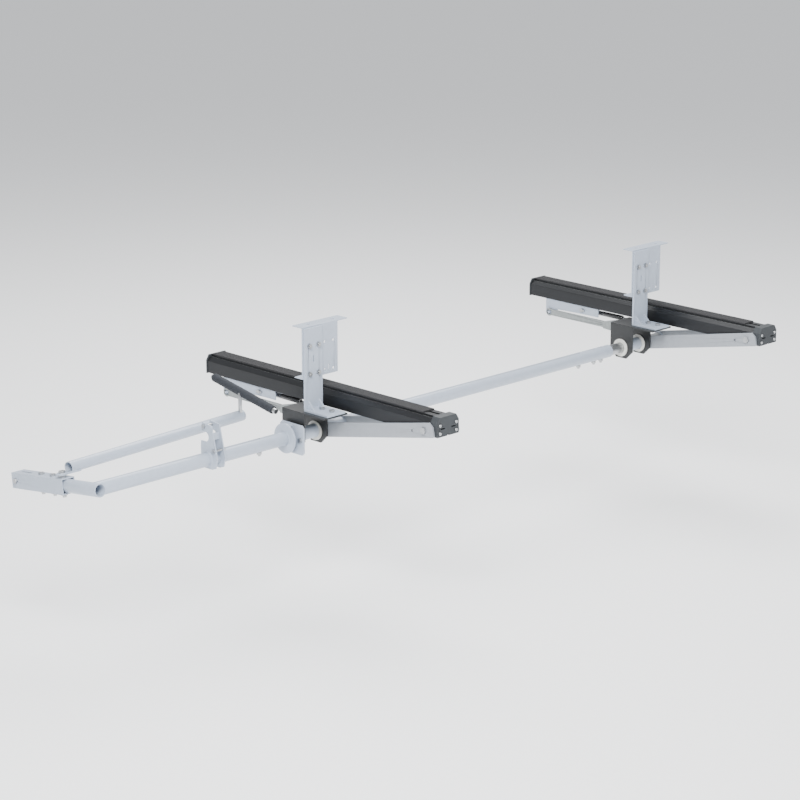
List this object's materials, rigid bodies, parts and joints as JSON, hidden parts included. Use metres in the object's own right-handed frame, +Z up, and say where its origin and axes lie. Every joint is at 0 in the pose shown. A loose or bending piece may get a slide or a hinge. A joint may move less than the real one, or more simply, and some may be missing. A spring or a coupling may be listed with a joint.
{
  "type": "drop-down ladder rack",
  "caption": "Roof-hung drop-down ladder rack: ribbed load beams on swing arms, joined by a torque tube turned by a folding crank handle.",
  "frame": {"origin": "centre of the rear unit's two roof bolt holes, on the top face of its flange", "axes": "+X along the beams to their outer ends, +Y along the torque tube to the front unit, +Z up"},
  "size_m": [1.026, 2.493, 0.4078],
  "materials": {
    "frame_white": "satin powder coat",
    "arm_grey": "satin",
    "black_plate": "satin",
    "beam_black": "black anodised",
    "cap_black": "textured",
    "strip_rubber": "ribbed",
    "zinc": "zinc plated",
    "link_zinc": "satin",
    "strut_black": "gloss",
    "strut_chrome": "polished",
    "bush_nylon": "natural",
    "foam": "matte foam"
  },
  "bodies": {
    "base": {"rear_plate_outer": "black_plate", "rear_plate_inner": "black_plate", "rear_saddle": "black_plate", "rear_bushes": "bush_nylon", "rear_strap": "frame_white", "rear_adapter": "frame_white", "rear_strap_bolts": "zinc", "rear_foot_bolts": "zinc", "rear_link_anchor": "link_zinc", "front_plate_outer": "black_plate", "front_plate_inner": "black_plate", "front_saddle": "black_plate", "front_bushes": "bush_nylon", "front_strap": "frame_white", "front_adapter": "frame_white", "front_strap_bolts": "zinc", "front_foot_bolts": "zinc", "front_link_anchor": "link_zinc"},
    "drive": {"torque_tube": "frame_white", "front_shaft": "zinc", "front_collar": "frame_white", "extension_tube": "frame_white", "clamp_bracket": "frame_white", "tube_bolts": "zinc", "cross_tube": "frame_white", "handle_channel": "frame_white", "channel_bolts": "zinc", "keeper_bracket": "frame_white", "keeper_bolts": "zinc", "rear_arm_near": "arm_grey", "rear_arm_far": "arm_grey", "rear_pivot_bolt": "zinc", "front_arm_near": "arm_grey", "front_arm_far": "arm_grey", "front_pivot_bolt": "zinc"},
    "lever": {"folding_lever": "frame_white", "grip_bar": "zinc", "foam_grip": "foam"},
    "rear_beam": {"rear_load_beam": "beam_black", "rear_rubber_strip": "strip_rubber", "rear_outer_cap": "cap_black", "rear_inner_cap": "cap_black", "rear_cap_screws": "zinc", "rear_tail_bracket": "frame_white"},
    "rear_link": {"rear_tail_link": "link_zinc"},
    "rear_strut": {"rear_strut_cylinder": "strut_black"},
    "rear_rod": {"rear_strut_rod": "strut_chrome"},
    "rear_wing": {"rear_wing_bolt": "zinc"},
    "front_beam": {"front_load_beam": "beam_black", "front_rubber_strip": "strip_rubber", "front_outer_cap": "cap_black", "front_inner_cap": "cap_black", "front_cap_screws": "zinc", "front_tail_bracket": "frame_white"},
    "front_link": {"front_tail_link": "link_zinc"},
    "front_strut": {"front_strut_cylinder": "strut_black"},
    "front_rod": {"front_strut_rod": "strut_chrome"},
    "front_wing": {"front_wing_bolt": "zinc"}
  },
  "joints": [
    {"name": "drive_turn", "type": "hinge", "parent": "base", "child": "drive", "pos_m": [-0.013, -0.14, -0.338], "axis": [0, 1, 0], "range_deg": [0, 30]},
    {"name": "lever_fold", "type": "hinge", "parent": "drive", "child": "lever", "pos_m": [-0.15676, -0.854, -0.35693], "axis": [-0.1305, 0, 0.9914], "range_deg": [0, 90]},
    {"name": "rear_beam_pivot", "type": "hinge", "parent": "drive", "child": "rear_beam", "pos_m": [0.442, 0.01, -0.246], "axis": [0, 1, 0], "range_deg": [-2.4, 0]},
    {"name": "rear_link_pivot", "type": "hinge", "parent": "base", "child": "rear_link", "pos_m": [-0.163, 0.01, -0.305], "axis": [0, 1, 0], "range_deg": [0, 39.5]},
    {"name": "rear_strut_pivot", "type": "hinge", "parent": "rear_beam", "child": "rear_strut", "pos_m": [-0.228, 0.01, -0.276], "axis": [0, 1, 0], "range_deg": [0, 3.4]},
    {"name": "rear_strut_slide", "type": "slide", "parent": "rear_strut", "child": "rear_rod", "axis": [1, 0, 0], "range_m": [-0.0282, 0]},
    {"name": "rear_wing_turn", "type": "hinge", "parent": "rear_beam", "child": "rear_wing", "pos_m": [-0.283, 0.01, -0.274], "axis": [0, 1, 0], "range_deg": [-90, 90]},
    {"name": "front_beam_pivot", "type": "hinge", "parent": "drive", "child": "front_beam", "pos_m": [0.442, 1.51, -0.246], "axis": [0, 1, 0], "range_deg": [-2.4, 0]},
    {"name": "front_link_pivot", "type": "hinge", "parent": "base", "child": "front_link", "pos_m": [-0.163, 1.51, -0.305], "axis": [0, 1, 0], "range_deg": [0, 39.5]},
    {"name": "front_strut_pivot", "type": "hinge", "parent": "front_beam", "child": "front_strut", "pos_m": [-0.228, 1.51, -0.276], "axis": [0, 1, 0], "range_deg": [0, 3.4]},
    {"name": "front_strut_slide", "type": "slide", "parent": "front_strut", "child": "front_rod", "axis": [1, 0, 0], "range_m": [-0.0282, 0]},
    {"name": "front_wing_turn", "type": "hinge", "parent": "front_beam", "child": "front_wing", "pos_m": [-0.283, 1.51, -0.274], "axis": [0, 1, 0], "range_deg": [-90, 90]}
  ],
  "couplings": [
    {"joint": "rear_beam_pivot", "follows": "drive_turn", "ratio": -0.0775},
    {"joint": "rear_link_pivot", "follows": "drive_turn", "ratio": 1.3123},
    {"joint": "rear_strut_pivot", "follows": "drive_turn", "ratio": 0.1092},
    {"joint": "rear_strut_slide", "follows": "drive_turn", "m_per_rad": -0.0534},
    {"joint": "front_beam_pivot", "follows": "drive_turn", "ratio": -0.0775},
    {"joint": "front_link_pivot", "follows": "drive_turn", "ratio": 1.3123},
    {"joint": "front_strut_pivot", "follows": "drive_turn", "ratio": 0.1092},
    {"joint": "front_strut_slide", "follows": "drive_turn", "m_per_rad": -0.0534}
  ]
}
